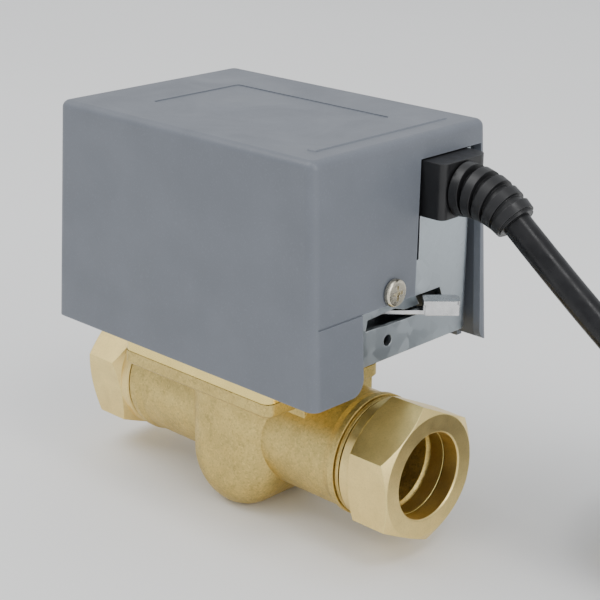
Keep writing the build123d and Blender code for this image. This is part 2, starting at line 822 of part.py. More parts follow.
def stator_poles():
    """Ring of pole fingers around the rotor."""
    bottom = can_bottom + 0.2
    top = can_top - can_wall - 0.4
    ring = rod_z(rotor_x, 0, bottom, top, pole_outer)
    ring -= rod_z(rotor_x, 0, bottom - 1, top + 1, pole_inner)
    for number in range(12):
        gap = block(pole_inner - 1, pole_outer + 1, -0.6, 0.6, bottom + 2, top - 2)
        ring -= Pos(rotor_x, 0, 0) * Rot(0, 0, 30 * number) * gap
    return ring


def motor_screws():
    screws = []
    for x, y in ear_places:
        seat = can_bottom + 1.0
        screws.append(screw_z(x, y, upper_plate_bottom, seat, ear_screw_radius, 2.6, 1.8))
    return Compound(children=screws)


# End switch

plunger_z = quadrant_bottom + quadrant_thickness / 2
plunger_half = 1.4
plunger_tip = spindle_y + cam_radius + 0.22
plunger_travel_room = 22.0


def switch_case():
    top = floor_top + switch_height
    case = block(-switch_half_length, switch_half_length, switch_front, switch_back, floor_top, top)
    case = fillet(case.edges().filter_by(Axis.Z), 0.8)
    hole = plunger_half + 0.1
    case -= block(-hole, hole, switch_front - 1, plunger_travel_room, plunger_z - hole, plunger_z + hole)
    for side in (-1, 1):
        case -= rod_z(
            side * switch_screw_x, switch_screw_y, floor_top - 1, top + 1, switch_screw_radius
        )
    return case


def switch_plunger():
    half = plunger_half
    return block(-half, half, plunger_tip, 20.2, plunger_z - half, plunger_z + half)


def switch_terminals():
    blades = []
    for x in (-7.0, 0.0, 7.0):
        blade = block(x - 1.2, x + 1.2, switch_back, switch_back + 1.9, plunger_z - 0.3, plunger_z + 0.3)
        blades.append(blade)
    return Compound(children=blades)


def switch_screws():
    seat = floor_top + switch_height
    screws = []
    for side in (-1, 1):
        x = side * switch_screw_x
        screws.append(screw_z(x, switch_screw_y, floor_bottom - 0.6, seat, switch_screw_radius, 1.9, 1.2))
    return Compound(children=screws)


# Cover


def tapered_box(length, width, top_length, top_width, bottom, top, corner):
    middle = Pos(cover_middle_x, cover_middle_y, 0)
    lower = middle * Plane.XY.offset(bottom) * RectangleRounded(length, width, corner)
    upper = middle * Plane.XY.offset(top) * RectangleRounded(top_length, top_width, corner)
    return loft([lower, upper], ruled=True)


def side_opening():
    """Cut through the +X wall, from the base up, as a face in a plane across X."""
    leg_round = 4.0
    strip_round = 3.2
    base = cover_base
    bend = cos(radians(45))
    cut_x = 38.0
    leg_y = notch_left - leg_round
    strip_bottom = base + 1.15
    strip_z = strip_bottom + strip_round
    leg_middle = (cut_x, leg_y + leg_round * bend, base + leg_round - leg_round * bend)
    strip_middle = (
        cut_x,
        opening_right + strip_round - strip_round * bend,
        strip_z - strip_round * bend,
    )
    below = base - 5
    start = (cut_x, leg_y, below)
    leg_bottom = (cut_x, leg_y, base)
    leg_side = (cut_x, notch_left, base + leg_round)
    corners = [
        leg_side,
        (cut_x, notch_left, notch_top),
        (cut_x, notch_right, notch_top),
        (cut_x, opening_left_top, opening_top),
        (cut_x, opening_right, opening_top),
        (cut_x, opening_right, strip_z),
    ]
    strip_foot = (cut_x, opening_right + strip_round, strip_bottom)
    beyond = [strip_foot, (cut_x, 40.0, strip_bottom), (cut_x, 40.0, below), start]
    outline = Line(start, leg_bottom) + ThreePointArc(leg_bottom, leg_middle, leg_side)
    outline += Polyline(*corners) + ThreePointArc(corners[-1], strip_middle, strip_foot)
    outline += Polyline(*beyond)
    return extrude(make_face(outline), amount=14, dir=(1, 0, 0))


def cover():
    top = cover_base + cover_height
    outer = tapered_box(
        cover_base_length, cover_base_width, cover_top_length, cover_top_width, cover_base, top, cover_corner
    )
    outer = fillet(outer.faces().sort_by(Axis.Z)[-1].edges(), cover_edge)
    thin = 2 * cover_wall
    inner = tapered_box(
        cover_base_length - thin,
        cover_base_width - thin,
        cover_top_length - thin,
        cover_top_width - thin,
        cover_base,
        top - cover_wall,
        cover_corner - cover_wall,
    )
    inner += block(-30, 30, -20, 20, cover_base - 3, cover_base + 2)
    shell = outer - inner
    shell -= side_opening()
    slot_half = cover_screw_radius + 0.35
    shell -= block(
        38, 50, cover_screw_y - slot_half, cover_screw_y + slot_half, notch_top - 1, cover_screw_z
    )
    shell -= rod_x(38, 50, cover_screw_y, cover_screw_z, slot_half)
    recess = block(-26.7, 26.7, -15.0, 15.0, top - 0.25, top + 1)
    recess = fillet(recess.edges().filter_by(Axis.Z), 1.0)
    shell -= recess
    ridge = block(35.0, 37.6, -23.0, 23.5, top - 0.5, top + 0.3)
    shell += chamfer(ridge.faces().sort_by(Axis.Z)[-1].edges(), 0.25)
    line = block(45.55, 50, -30.0, notch_left, notch_top - 0.25, notch_top + 0.25)
    return shell - line


# Cord entry


def bent_path(points, radii):
    """Straight runs joined by tangent arcs."""
    return FilletPolyline(*points, radius=radii)


def run_radii(points):
    """0.45 of the shorter run divided by the tangent of half the turn, at each corner."""
    radii = []
    for before, here, after in zip(points, points[1:], points[2:]):
        first = Vector(*here) - Vector(*before)
        second = Vector(*after) - Vector(*here)
        turn = first.get_angle(second)
        radii.append(0.45 * min(first.length, second.length) / tan(radians(turn / 2)))
    return radii


entry_route = [(cord_entry_x, cord_y, grommet_z), relief_corner, relief_end]
relief_run = hypot(relief_end[0] - relief_corner[0], relief_end[2] - relief_corner[2])
relief_turn = atan2(relief_corner[2] - relief_end[2], relief_end[0] - relief_corner[0])
entry_radius = 0.93 * relief_run / tan(relief_turn / 2)


def cord_tube(path, radius):
    section = Plane(origin=path @ 0, z_dir=path % 0) * Circle(radius)
    return sweep(section, path=path)


def cord_grommet():
    """Moulded block in the end plate, with its ribbed strain relief."""
    left = 6.5
    right = 23.6
    bottom = 62.3
    top = 75.9
    outside = block(plate_face, grommet_face, left, right, bottom, top)
    outer_face_edges = outside.faces().sort_by(Axis.X)[-1].edges()
    far_edge = outer_face_edges.filter_by(Axis.Z).sort_by(Axis.Y)[-1]
    near_edge = outer_face_edges.filter_by(Axis.Z).sort_by(Axis.Y)[0]
    outside = fillet(far_edge, 3.4)
    outside = fillet(outside.edges().filter_by(Axis.Z).sort_by_distance(near_edge.center())[0], 1.8)
    neck = block(plate_face - sheet, plate_face, neck_left, neck_right, neck_bottom, neck_top)
    inside = block(
        plate_face - sheet - 2.6, plate_face - sheet, neck_left - 0.8, neck_right + 1.5, 62.8, 75.2
    )
    body = outside + neck + inside
    path = bent_path(entry_route, entry_radius)
    start = (grommet_face - cord_entry_x) / path.length
    rib_count = 5
    for number in range(rib_count):
        share = start + (1 - start) * (number + 0.5) / rib_count
        radius = 6.7 - 0.3 * number
        rib = Cone(radius, radius - 0.25, 2.3)
        body += Plane(origin=path @ share, z_dir=path % share) * rib
    core_path = path.trim(start - 0.02, 1.0)
    body += cord_tube(core_path, 4.7)
    return body - cord_tube(path, cord_radius)


# Coil and cores

last_run = Vector(*cord_route[-1]) - Vector(*cord_route[-2])
coil_x = cord_route[-1][0]
coil_y = cord_route[-1][1] + coil_radius
coil_start_angle = -pi / 2
coil_top = 3 * coil_layer
ramp_drop = cord_route[-1][2] - cord_floor - coil_top
run_slope = -last_run.Z / sqrt(last_run.X**2 + last_run.Y**2)
ramp_turns = ramp_drop / (run_slope * pi * coil_radius)


def coil_height(turn):
    """Height above the lowest turn after a number of turns, and its slope per turn.

    The cord slopes down onto the top turn, and then drops a layer in the first
    quarter of each turn.
    """
    if turn < ramp_turns:
        left = 1 - turn / ramp_turns
        return coil_top + ramp_drop * left**2, -2 * ramp_drop * left / ramp_turns
    layer = int(turn)
    if layer == 0:
        return coil_top, 0.0
    share = min(4 * (turn - layer), 1)
    height = coil_top - coil_layer * (layer - 1 + (1 - cos(pi * share)) / 2)
    return height, -2 * pi * coil_layer * sin(pi * share)


def coil_point(turn):
    """Place and direction on the coil, which runs anticlockwise as seen from above."""
    height, height_slope = coil_height(turn)
    angle = coil_start_angle + 2 * pi * turn
    point = Vector(
        coil_x + coil_radius * cos(angle),
        coil_y + coil_radius * sin(angle),
        cord_floor + height,
    )
    slope = Vector(
        -2 * pi * coil_radius * sin(angle), 2 * pi * coil_radius * cos(angle), height_slope
    )
    return point, slope.normalized()


def biarc(start, start_direction, end, end_direction):
    """Two tangent arcs from one point and direction to another."""
    across = end - start
    together = start_direction + end_direction
    spread = 2 * (1 - start_direction.dot(end_direction))
    along = across.dot(together)
    reach = (sqrt(along**2 + spread * across.dot(across)) - along) / spread
    middle = (start + end + (start_direction - end_direction) * reach) / 2
    middle_direction = (end - end_direction * reach - middle).normalized()
    first = Edge.make_tangent_arc(start, start_direction, middle)
    second = Edge.make_tangent_arc(middle, middle_direction, end)
    return [first, second]


def coil_wire():
    edges = []
    steps = round(coil_turns * 4)
    for number in range(steps):
        start, start_direction = coil_point(number / 4)
        end, end_direction = coil_point((number + 1) / 4)
        if number == 0:
            start_direction = last_run.normalized()
        if number == steps - 1:
            outward = Vector(end.X - coil_x, end.Y - coil_y, 0)
            end_direction = outward.rotate(Axis.Z, 90).normalized()
        edges += biarc(start, start_direction, end, end_direction)
    return Wire(edges)


def least_self_gap(wire, radius):
    """Least distance between two places on the coil that are over half a turn apart."""
    samples = [wire @ (number / 560) for number in range(561)]
    least = 1000.0
    for number, here in enumerate(samples):
        for there in samples[number + 80 :]:
            least = min(least, (here - there).length)
    return least - 2 * radius


def core_places():
    return [(core_ring_radius, 72 * number + 18) for number in range(5)]


def curved_core(offset, angle, radius, start_length, length):
    """Round wire that follows the coil on from its end, on the floor."""
    mid_radius = coil_radius + offset * cos(radians(angle))
    z = cord_floor + offset * sin(radians(angle))
    profile = Plane(origin=(mid_radius, 0, z), z_dir=(0, -1, 0)) * Circle(radius)
    wire = revolve(profile, Axis.Z, degrees(length / coil_radius))
    begin = degrees(coil_start_angle + 2 * pi * coil_turns + start_length / coil_radius)
    return Pos(coil_x, coil_y, 0) * Rot(0, 0, begin) * wire


core_names = ("core_brown", "core_blue", "core_orange", "core_grey", "core_earth")


def build_all():
    save("valve_body", valve_body())
    save("compression_nut_near", compression_nut(1, near_nut_turn))
    save("compression_nut_far", compression_nut(-1, far_nut_turn))
    save("olive_near", olive(1))
    save("olive_far", olive(-1))
    save("bonnet_plate", bonnet_plate())
    seal = rod_z(0, bonnet_opening_y, seal_bottom, flange_top, seal_outer)
    seal -= rod_z(0, bonnet_opening_y, seal_bottom - 1, flange_top + 1, seal_inner)
    save("bonnet_seal", seal)
    screws = [
        screw_z(x, y, flange_bottom + 0.4, bonnet_top, bonnet_screw_radius, 3.8, 2.6)
        for x, y in bonnet_screw_places
    ]
    save("bonnet_screws", Compound(children=screws))
    save("spindle", spindle())
    save("spindle_orings", spindle_o_rings())
    save("ball_arm", ball_arm())
    save("rubber_ball", rubber_ball())
    save("chassis", chassis())
    chassis_screws = [
        screw_z(side * post_x, post_y, chassis_screw_bottom, floor_top, chassis_screw_radius, 3.5, 2.3)
        for side in (-1, 1)
    ]
    save("chassis_screws", Compound(children=chassis_screws))
    earth_screw = screw_z(earth_x, earth_y, floor_bottom - 3, floor_top, earth_radius, 3.0, 2.0)
    save("earth_screw", earth_screw)
    save("cover_screw", cover_screw())
    save("quadrant_gear", quadrant_gear())
    save("return_spring", return_spring())
    save("lever_pivot", lever_pivot())
    save("manual_lever", manual_lever())
    save("output_gear", output_gear())
    save("intermediate_gear", intermediate_gear())
    save("rotor_shaft", rotor_shaft())
    save("rotor_magnet", rotor_magnet())
    lower_arbors = [(output_x, output_y), (middle_x, middle_y)]
    save("motor_lower_plate", motor_plate(-40.5, lower_plate_bottom, lower_arbors))
    save("motor_upper_plate", motor_upper_plate())
    save("motor_pillars", motor_pillars())
    save("gear_standoffs", gear_standoffs())
    save("motor_can", motor_can())
    save("stator_coil", stator_coil())
    save("stator_poles", stator_poles())
    save("motor_screws", motor_screws())
    save("switch_case", switch_case())
    save("switch_plunger", switch_plunger())
    save("switch_terminals", switch_terminals())
    save("switch_screws", switch_screws())
    save("cover", cover())
    save("cord_grommet", cord_grommet())
    entry = cord_tube(bent_path(entry_route, entry_radius), cord_radius)
    save("cord_entry", entry)
    radii = run_radii(cord_route)
    print("cord radii", [round(radius, 1) for radius in radii], "entry", round(entry_radius, 1))
    route = bent_path(cord_route, radii)
    free_cord = cord_tube(route, cord_radius)
    save("supply_cord", free_cord)
    wire = coil_wire()
    coil = cord_tube(wire, cord_radius)
    save("cord_coil", coil)
    section = pi * cord_radius**2
    print("cord volume", free_cord.volume, "expected", route.length * section)
    print("coil volume", coil.volume, "expected", wire.length * section)
    print("coil least self-gap", round(least_self_gap(wire, cord_radius), 3))
    print("cord length", round(route.length + wire.length + core_length, 1))
    for name, (offset, angle) in zip(core_names, core_places()):
        save(name, curved_core(offset, angle, core_radius, 0, core_length - conductor_length))
    tips = [
        curved_core(offset, angle, conductor_radius, core_length - conductor_length, conductor_length)
        for offset, angle in core_places()
    ]
    save("core_conductors", Compound(children=tips))


build_all()
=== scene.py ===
"""Looks, cord and stage for the motorized zone valve, laid out as a Blender add-on."""

import json
from math import cos, hypot, pi, radians, sin

import bpy
from mathutils import Matrix, Vector


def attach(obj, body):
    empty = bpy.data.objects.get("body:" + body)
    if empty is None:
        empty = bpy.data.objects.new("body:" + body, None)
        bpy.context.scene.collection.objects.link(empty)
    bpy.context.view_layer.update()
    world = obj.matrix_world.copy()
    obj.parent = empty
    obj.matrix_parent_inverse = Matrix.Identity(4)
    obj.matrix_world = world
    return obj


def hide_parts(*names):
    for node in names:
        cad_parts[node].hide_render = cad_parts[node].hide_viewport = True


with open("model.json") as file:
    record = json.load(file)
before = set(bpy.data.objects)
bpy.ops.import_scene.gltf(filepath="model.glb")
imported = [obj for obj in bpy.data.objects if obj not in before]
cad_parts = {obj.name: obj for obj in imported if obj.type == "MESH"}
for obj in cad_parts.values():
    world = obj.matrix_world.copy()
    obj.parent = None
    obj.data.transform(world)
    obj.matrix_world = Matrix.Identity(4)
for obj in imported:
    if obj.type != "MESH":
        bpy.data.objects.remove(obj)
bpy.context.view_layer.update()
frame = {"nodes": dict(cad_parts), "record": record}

bl_info = {
    "name": "Zone Valve Looks",
    "version": (1, 0, 0),
    "blender": (4, 5, 0),
    "location": "View3D > Sidebar > Zone Valve",
    "description": "Finishes, cord, wires, camera and stage for the motorized zone valve",
    "category": "Object",
}

MM = 0.001

# Camera, solved from the photo, in millimetres and degrees
camera_target = (11.15, 0.0, 34.32)
camera_distance = 391.46
camera_azimuth = 43.84
camera_elevation = 19.86
camera_roll = 0.467
camera_lens = 92.36

# Stage, in metres
floor_width = 6.0
light_aim = (0.0, 0.0, 0.03)
key_place = (-0.5, -0.5, 1.3)
key_size = 1.2
fill_place = (1.2, -0.2, 0.5)
fill_size = 0.8
spot_place = (0.62, -0.12, 1.1)
spot_size = 0.34

# Cord, in millimetres as the part's source has it
cord_radius = 3.5
foot_height = -22.3
cord_floor = foot_height + cord_radius
cord_y = 14.2
relief_end = (66.65, cord_y, 63.7)
cord_route = [
    relief_end,
    (95.0, cord_y, 41.02),
    (120.5, 15.8, 25.7),
]
coil_radius = 35.5
coil_turns = 3.75
coil_layer = 8.0
layer_drops = 3
coil_points_per_turn = 16

# Real length of the sheath from the strain relief to its end, in metres
cord_length = 0.909


def millimetres(point):
    return Vector(point) * MM


# Shader building


class Shader:
    """A Principled material with helpers that add procedural detail in metres."""

    def __init__(self, name, roughness, metallic=0.0, specular=0.5):
        self.material = bpy.data.materials.new(name)
        self.material.use_nodes = True
        self.tree = self.material.node_tree
        self.surface = self.tree.nodes["Principled BSDF"]
        self.surface.inputs["Roughness"].default_value = roughness
        self.surface.inputs["Metallic"].default_value = metallic
        self.surface.inputs["Specular IOR Level"].default_value = specular
        self.place = self.node("ShaderNodeTexCoord").outputs["Object"]
        self.normal = None

    def node(self, kind, **values):
        made = self.tree.nodes.new(kind)
        for key, value in values.items():
            if hasattr(made, key):
                setattr(made, key, value)
            else:
                made.inputs[key].default_value = value
        return made

    def link(self, start, end):
        self.tree.links.new(start, end)

    def stretched(self, scale):
        mapping = self.node("ShaderNodeMapping", Scale=scale)
        self.link(self.place, mapping.inputs["Vector"])
        return mapping.outputs["Vector"]

    def noise(self, size, detail=3.0, roughness=0.55, stretch=None, distortion=0.0):
        """Noise whose features are about size millimetres across."""
        made = self.node("ShaderNodeTexNoise", Detail=detail, Roughness=roughness)
        made.inputs["Scale"].default_value = 1.0 / (size * MM)
        made.inputs["Distortion"].default_value = distortion
        self.link(self.stretched(stretch) if stretch else self.place, made.inputs["Vector"])
        return made.outputs["Fac"]

    def cells(self, size):
        """A random grey for each cell of about size millimetres."""
        made = self.node("ShaderNodeTexVoronoi", Scale=1.0 / (size * MM))
        self.link(self.place, made.inputs["Vector"])
        return made.outputs["Color"]

    def ramp(self, factor, stops):
        """Colours at stated places between 0 and 1, blended between them."""
        made = self.node("ShaderNodeValToRGB")
        elements = made.color_ramp.elements
        while len(elements) < len(stops):
            elements.new(0.5)
        for element, (position, colour) in zip(elements, stops):
            element.position = position
            element.color = (*colour, 1.0)
        self.link(factor, made.inputs["Fac"])
        return made.outputs["Color"]

    def grey_ramp(self, factor, low, high, start=0.0, end=1.0):
        return self.ramp(factor, [(start, (low,) * 3), (end, (high,) * 3)])

    def mix(self, factor, base, colour):
        """The base's colour socket with a plain colour mixed in by a factor socket."""
        made = self.node("ShaderNodeMix", data_type="RGBA")
        sockets = {socket.identifier: socket for socket in made.inputs}
        self.link(factor, sockets["Factor_Float"])
        self.link(base, sockets["A_Color"])
        sockets["B_Color"].default_value = (*colour, 1.0)
        return next(one for one in made.outputs if one.identifier == "Result_Color")

    def times(self, socket, factor):
        made = self.node("ShaderNodeMath", operation="MULTIPLY")
        self.link(socket, made.inputs[0])
        made.inputs[1].default_value = factor
        return made.outputs[0]

    def soften_edges(self, radius):
        """Round the edges in shading by a radius in millimetres."""
        made = self.node("ShaderNodeBevel", samples=6, Radius=radius * MM)
        self.normal = made.outputs["Normal"]
        self.link(self.normal, self.surface.inputs["Normal"])

    def bump(self, height, strength, depth):
        """Bump of a depth in millimetres, on top of what is there."""
        made = self.node("ShaderNodeBump", Strength=strength, Distance=depth * MM)
        self.link(height, made.inputs["Height"])
        if self.normal:
            self.link(self.normal, made.inputs["Normal"])
        self.normal = made.outputs["Normal"]
        self.link(self.normal, self.surface.inputs["Normal"])

    def colour(self, socket):
        self.link(socket, self.surface.inputs["Base Color"])

    def rough(self, socket):
        self.link(socket, self.surface.inputs["Roughness"])

    def edge_mask(self, radius):
        """White along edges, from the difference between the rounded and the real normal; the
        finishes paint their edge highlights through it.
        """
        rounded = self.node("ShaderNodeBevel", samples=6, Radius=radius * MM)
        real = self.node("ShaderNodeNewGeometry")
        dot = self.node("ShaderNodeVectorMath", operation="DOT_PRODUCT")
        self.link(rounded.outputs["Normal"], dot.inputs[0])
        self.link(real.outputs["Normal"], dot.inputs[1])
        return self.ramp(dot.outputs["Value"], [(0.75, (1.0,) * 3), (0.98, (0.0,) * 3)])


def shade(colour, factor):
    """The colour made darker or paler."""
    return tuple(min(1.0, value * factor) for value in colour)


# Finishes


def moulded_cover(name, colour):
    """Moulded plastic with a fine satin grain, handling marks and a painted highlight along the
    edges.
    """
    shader = Shader(name, 0.42, specular=0.45)
    cloud = shader.noise(14.0, detail=4.0)
    base = shader.ramp(cloud, [(0.3, shade(colour, 0.94)), (0.7, shade(colour, 1.05))])
    speck = shader.noise(0.5, detail=1.0)
    base = shader.mix(shader.grey_ramp(speck, 0.0, 0.25, 0.58, 0.72), base, shade(colour, 1.35))
    # Painted highlight: the edges made paler, as if they caught the light.
    edge_highlight = shader.edge_mask(1.2)
    base = shader.mix(shader.times(edge_highlight, 0.25), base, shade(colour, 1.75))
    shader.colour(base)
    smudge = shader.noise(22.0, detail=5.0, distortion=0.6)
    shader.rough(shader.grey_ramp(smudge, 0.36, 0.52, 0.35, 0.7))
    shader.bump(shader.noise(0.35, detail=2.0), 0.18, 0.06)
    shader.bump(shader.noise(9.0, detail=2.0), 0.08, 0.2)
    return shader


def cast_brass(name, colour):
    """Sand-cast brass: a rough grained skin with painted shade in dark patches, painted glints
    and a painted highlight along the edges.
    """
    shader = Shader(name, 0.42, metallic=1.0)
    cloud = shader.noise(7.0, detail=5.0, distortion=0.4)
    base = shader.ramp(
        cloud, [(0.3, shade(colour, 0.86)), (0.5, colour), (0.75, shade(colour, 1.12))]
    )
    # Painted shade: darker patches at random, standing for shade in the hollows of the rough
    # skin.
    dark_patches = shader.noise(2.2, detail=4.0)
    base = shader.mix(shader.grey_ramp(dark_patches, 0.0, 0.45, 0.55, 0.75), base, shade(colour, 0.5))
    grain = shader.noise(0.6, detail=3.0)
    base = shader.mix(shader.grey_ramp(grain, 0.0, 0.55, 0.5, 0.68), base, shade(colour, 0.6))
    glint = shader.noise(0.7, detail=2.0)
    base = shader.mix(shader.grey_ramp(glint, 0.0, 0.5, 0.55, 0.7), base, shade(colour, 1.35))
    # Painted highlight: the edges made paler, as if they caught the light.
    edge_highlight = shader.edge_mask(0.5)
    base = shader.mix(shader.times(edge_highlight, 0.5), base, shade(colour, 1.35))
    shader.colour(base)
    shader.rough(shader.grey_ramp(shader.noise(3.0, detail=4.0), 0.34, 0.56, 0.3, 0.75))
    shader.soften_edges(0.35)
    shader.bump(grain, 0.7, 0.14)
    shader.bump(shader.noise(2.6, detail=2.0), 0.3, 0.28)
    return shader


def turned_brass(name, colour):
    """Machined brass with fine turning lines round the pipe, a grain and a painted highlight
    along the edges.
    """
    shader = Shader(name, 0.28, metallic=1.0)
    cloud = shader.noise(5.0, detail=4.0, distortion=0.5)
    base = shader.ramp(cloud, [(0.3, shade(colour, 0.92)), (0.7, shade(colour, 1.05))])
    dark_patches = shader.noise(1.6, detail=3.0)
    base = shader.mix(shader.grey_ramp(dark_patches, 0.0, 0.2, 0.55, 0.8), base, shade(colour, 0.65))
    grain = shader.noise(0.45, detail=2.0)
    base = shader.mix(shader.grey_ramp(grain, 0.0, 0.3, 0.45, 0.7), base, shade(colour, 0.7))
    # Painted highlight: the edges made paler, as if they caught the light.
    edge_highlight = shader.edge_mask(0.45)
    base = shader.mix(shader.times(edge_highlight, 0.6), base, shade(colour, 1.3))
    shader.colour(base)
    shader.rough(shader.grey_ramp(shader.noise(4.0, detail=5.0), 0.31, 0.43, 0.3, 0.75))
    shader.soften_edges(0.3)
    shader.bump(shader.noise(0.14, detail=2.0, stretch=(1.0, 0.02, 0.02)), 0.2, 0.03)
    shader.bump(grain, 0.3, 0.05)
    return shader


def milled_brass(name, colour):
    """Bright milled plate with straight tool marks."""
    shader = Shader(name, 0.25, metallic=1.0)
    cloud = shader.noise(4.0, detail=3.0)
    shader.colour(shader.ramp(cloud, [(0.3, shade(colour, 0.94)), (0.7, shade(colour, 1.06))]))
    shader.rough(shader.grey_ramp(shader.noise(2.0, detail=4.0), 0.18, 0.36))
    shader.soften_edges(0.25)
    shader.bump(shader.noise(0.2, detail=2.0, stretch=(0.03, 1.0, 1.0)), 0.3, 0.04)
    return shader


def galvanized(name):
    """Zinc-coated sheet with a faint crystal pattern and a painted highlight along the edges."""
    shader = Shader(name, 0.38, metallic=1.0)
    crystals = shader.cells(3.4)
    tone = shader.ramp(crystals, [(0.0, (0.4, 0.45, 0.48)), (1.0, (0.56, 0.615, 0.65))])
    drift = shader.noise(9.0, detail=4.0)
    base = shader.mix(shader.grey_ramp(drift, 0.0, 0.5), tone, (0.48, 0.52, 0.55))
    # Painted highlight: the edges made paler, as if they caught the light.
    edge_highlight = shader.edge_mask(0.35)
    base = shader.mix(shader.times(edge_highlight, 0.55), base, (0.8, 0.8, 0.78))
    shader.colour(base)
    shader.rough(shader.grey_ramp(crystals, 0.3, 0.5))
    shader.soften_edges(0.2)
    shader.bump(shader.noise(0.4, detail=3.0), 0.15, 0.04)
    return shader


def plain_steel(name, colour, roughness=0.3, line=0.25):
    """Plated or ground steel with fine lines and soft patches."""
    shader = Shader(name, roughness, metallic=1.0)
    darker = tuple(0.78 * value for value in colour)
    base = shader.ramp(shader.noise(3.0, detail=4.0), [(0.3, darker), (0.7, colour)])
    # Painted highlight: the edges made paler, as if they caught the light.
    edge_highlight = shader.edge_mask(0.25)
    base = shader.mix(shader.times(edge_highlight, 0.5), base, (0.88, 0.88, 0.86))
    shader.colour(base)
    patches = shader.noise(1.8, detail=4.0)
    shader.rough(shader.grey_ramp(patches, roughness - 0.08, roughness + 0.14, 0.3, 0.75))
    shader.soften_edges(0.15)
    shader.bump(shader.noise(0.16, detail=2.0, stretch=(1.0, 1.0, 0.05)), line, 0.02)
    return shader


def moulded(name, colour, roughness=0.45, grain=0.25):
    """Small plastic moulding with a fine grain and slightly uneven tone."""
    shader = Shader(name, roughness, specular=0.45)
    darker = tuple(0.8 * value for value in colour)
    base = shader.ramp(shader.noise(5.0, detail=3.0), [(0.3, darker), (0.7, colour)])
    # Painted highlight: the edges made paler, as if they caught the light.
    edge_highlight = shader.edge_mask(0.4)
    paler = tuple(min(1.0, value * 1.5 + 0.02) for value in colour)
    shader.colour(shader.mix(shader.times(edge_highlight, 0.35), base, paler))
    smudge = shader.noise(4.0, detail=4.0)
    shader.rough(shader.grey_ramp(smudge, roughness - 0.08, roughness + 0.12, 0.3, 0.7))
    shader.soften_edges(0.25)
    shader.bump(shader.noise(grain, detail=2.0), 0.15, 0.03)
    return shader


def rubber(name, colour):
    """Matte rubber with a dusty bloom."""
    shader = Shader(name, 0.75, specular=0.3)
    paler = tuple(value + 0.03 for value in colour)
    shader.colour(shader.ramp(shader.noise(2.0, detail=5.0), [(0.35, colour), (0.75, paler)]))
    shader.bump(shader.noise(0.3, detail=2.0), 0.2, 0.04)
    return shader


def sheath(name, colour, roughness=0.38):
    """Extruded cable sheath: satin, with a little dust."""
    shader = Shader(name, roughness, specular=0.32)
    paler = tuple(value * 1.25 + 0.01 for value in colour)
    shader.colour(shader.ramp(shader.noise(6.0, detail=4.0), [(0.35, colour), (0.7, paler)]))
    dust = shader.noise(2.5, detail=4.0)
    shader.rough(shader.grey_ramp(dust, roughness - 0.06, roughness + 0.14, 0.3, 0.7))
    shader.bump(shader.noise(0.7, detail=2.0), 0.1, 0.03)
    return shader


def striped_core(name):
    """Earth wire: green with a yellow stripe wound round it."""
    shader = Shader(name, 0.4, specular=0.45)
    wave = shader.node("ShaderNodeTexWave", wave_type="BANDS", bands_direction="DIAGONAL")
    wave.inputs["Scale"].default_value = 60.0
    shader.link(shader.place, wave.inputs["Vector"])
    stripe = shader.ramp(
        wave.outputs["Fac"], [(0.48, (0.05, 0.25, 0.04)), (0.52, (0.75, 0.62, 0.05))]
    )
    shader.colour(stripe)
    shader.bump(shader.noise(0.5, detail=2.0), 0.1, 0.02)
    return shader


def wound_tape(name):
    """Amber tape over the motor's winding."""
    shader = Shader(name, 0.3, specular=0.5)
    layer_tone = shader.noise(3.0, detail=3.0)
    shader.colour(shader.ramp(layer_tone, [(0.3, (0.4, 0.2, 0.03)), (0.7, (0.6, 0.36, 0.06))]))
    layers = shader.noise(0.5, detail=1.0, stretch=(0.05, 0.05, 1.0))
    shader.bump(layers, 0.4, 0.08)
    return shader


def chosen(name):
    """One of the colours in the panel's settings."""
    return tuple(getattr(bpy.context.scene.valve_colours, name))


FINISHES = {
    "cover_grey": lambda name: moulded_cover(name, chosen("cover")),
    "brass_cast": lambda name: cast_brass(name, chosen("casting")),
    "brass_nut": lambda name: turned_brass(name, chosen("nuts")),
    "brass_bright": lambda name: turned_brass(name, shade(chosen("nuts"), 1.06)),
    "brass_machined": lambda name: milled_brass(name, chosen("milled")),
    "galvanized_steel": galvanized,
    "rubber_black": lambda name: rubber(name, (0.02, 0.02, 0.02)),
    "rubber_ball": lambda name: rubber(name, (0.025, 0.025, 0.028)),
    "screw_steel": lambda name: plain_steel(name, (0.7, 0.7, 0.68)),
    "spindle_steel": lambda name: plain_steel(name, (0.66, 0.67, 0.68), 0.22),
    "cover_screw": lambda name: plain_steel(name, (0.74, 0.69, 0.56), 0.25),
    "gear_steel": lambda name: plain_steel(name, (0.58, 0.58, 0.58), 0.34),
    "spring_steel": lambda name: plain_steel(name, (0.45, 0.45, 0.47), 0.26),
    "lever_steel": lambda name: plain_steel(name, (0.7, 0.7, 0.7), 0.26),
    "motor_steel": lambda name: plain_steel(name, (0.64, 0.64, 0.62), 0.32),
    "gear_plastic": lambda name: moulded(name, (0.72, 0.68, 0.56)),
    "ferrite": lambda name: plain_steel(name, (0.1, 0.1, 0.11), 0.5),
    "coil_tape": wound_tape,
    "switch_plastic": lambda name: moulded(name, (0.03, 0.03, 0.035)),
    "plunger_plastic": lambda name: moulded(name, (0.6, 0.06, 0.03)),
    "grommet_black": lambda name: moulded(name, (0.012, 0.012, 0.013), 0.36, 0.4),
    "cord_sheath": lambda name: sheath(name, chosen("sheath"), 0.27),
    "core_brown": lambda name: sheath(name, (0.1, 0.035, 0.012)),
    "core_blue": lambda name: sheath(name, (0.015, 0.08, 0.4)),
    "core_orange": lambda name: sheath(name, (0.7, 0.17, 0.01)),
    "core_grey": lambda name: sheath(name, (0.25, 0.25, 0.26)),
    "core_earth": striped_core,
    "copper": lambda name: plain_steel(name, (0.8, 0.36, 0.2), 0.25),
}
made_finishes = {}
slotted_pieces = [
    (frame["nodes"][row["node"]], row["material_slot"]) for row in frame["record"]["subparts"]
]


